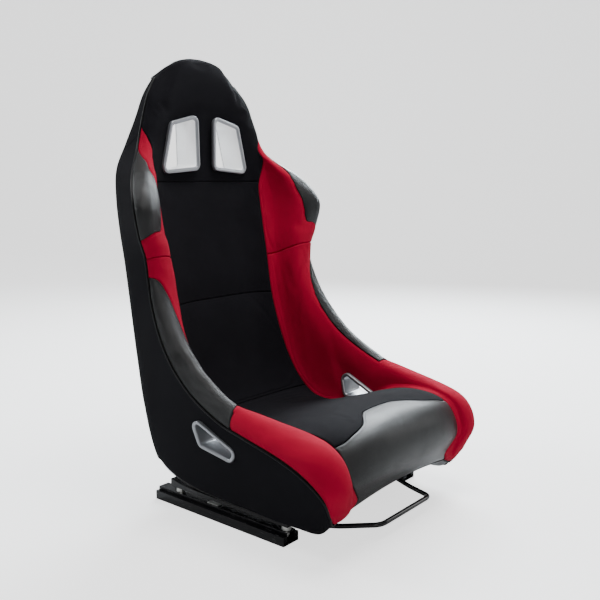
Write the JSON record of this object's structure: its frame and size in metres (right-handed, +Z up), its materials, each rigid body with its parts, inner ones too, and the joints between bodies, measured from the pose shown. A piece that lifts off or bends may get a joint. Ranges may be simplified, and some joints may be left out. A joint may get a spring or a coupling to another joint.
{
  "type": "racing seat",
  "caption": "Fixed-back bucket racing seat with raised thigh, waist and shoulder bolsters, framed belt slots, side slide rails and a lift-up release bar.",
  "frame": {"origin": "middle of the footprint, on the floor that the lower rails are bolted to", "axes": "+Z up, -Y the way the sitter looks, +X the sitter's left; X = 0 is the plane of symmetry"},
  "size_m": [0.5778, 0.6484, 0.9577],
  "materials": {
    "black_fabric": "matt knitted cloth",
    "red_fabric": "matt knitted cloth",
    "black_leather": "fine-grained, half gloss",
    "laminate": "glass-fibre laminate with a black gel coat",
    "silver_plastic": "satin silver lacquer",
    "black_paint": "gloss black",
    "zinc": "bright zinc plate",
    "steel": "plain"
  },
  "bodies": {
    "floor_rails": {"lower_rail_left": "black_paint", "lower_rail_right": "black_paint"},
    "roller_cages": {"roller_cage_left": "zinc", "roller_cage_right": "zinc", "roller_front_left": "steel", "roller_front_right": "steel", "roller_rear_left": "steel", "roller_rear_right": "steel"},
    "seat": {"back_cover": "black_fabric", "collar_stud_front_left": "zinc", "collar_stud_front_right": "zinc", "collar_stud_rear_left": "zinc", "collar_stud_rear_right": "zinc", "cushion_nose": "black_leather", "harness_bezel_front_left": "silver_plastic", "harness_bezel_front_right": "silver_plastic", "harness_bezel_rear_left": "silver_plastic", "harness_bezel_rear_right": "silver_plastic", "headrest_pad": "black_fabric", "hip_bolster_left": "red_fabric", "hip_bolster_right": "red_fabric", "hip_patch_left": "black_leather", "hip_patch_right": "black_leather", "laminate_shell": "laminate", "lap_bezel_inner_left": "silver_plastic", "lap_bezel_inner_right": "silver_plastic", "lap_bezel_outer_left": "silver_plastic", "lap_bezel_outer_right": "silver_plastic", "latch_bracket_left": "zinc", "latch_bracket_right": "zinc", "latch_spring_left": "steel", "latch_spring_right": "steel", "lower_back_pad": "black_fabric", "mounting_bar_left": "black_paint", "mounting_bar_right": "black_paint", "pivot_pin_left": "steel", "pivot_pin_right": "steel", "rail_nut_front_left": "zinc", "rail_nut_front_right": "zinc", "rail_nut_rear_left": "zinc", "rail_nut_rear_right": "zinc", "seat_cushion": "black_fabric", "shoulder_patch_left": "black_leather", "shoulder_patch_right": "black_leather", "side_cover_left": "black_fabric", "side_cover_right": "black_fabric", "thigh_bolster_left": "red_fabric", "thigh_bolster_right": "red_fabric", "upper_back_pad": "black_fabric", "upper_rail_left": "black_paint", "upper_rail_right": "black_paint", "waist_bolster_left": "red_fabric", "waist_bolster_right": "red_fabric", "wing_bolster_left": "red_fabric", "wing_bolster_right": "red_fabric"},
    "release": {"latch_lever_left": "zinc", "latch_lever_right": "zinc", "release_bar": "black_paint"}
  },
  "joints": [
    {"name": "seat_slide", "type": "slide", "parent": "floor_rails", "child": "seat", "axis": [0, 1, 0], "range_m": [-0.08, 0.08]},
    {"name": "cage_travel", "type": "slide", "parent": "floor_rails", "child": "roller_cages", "axis": [0, 1, 0], "range_m": [-0.04, 0.04]},
    {"name": "release_lift", "type": "hinge", "parent": "seat", "child": "release", "pos_m": [0, 0.0238, 0.034], "axis": [-1, 0, 0], "range_deg": [0, 7], "stiffness_Nm_per_rad": 2}
  ],
  "couplings": [
    {"joint": "cage_travel", "follows": "seat_slide", "ratio": 0.5}
  ]
}
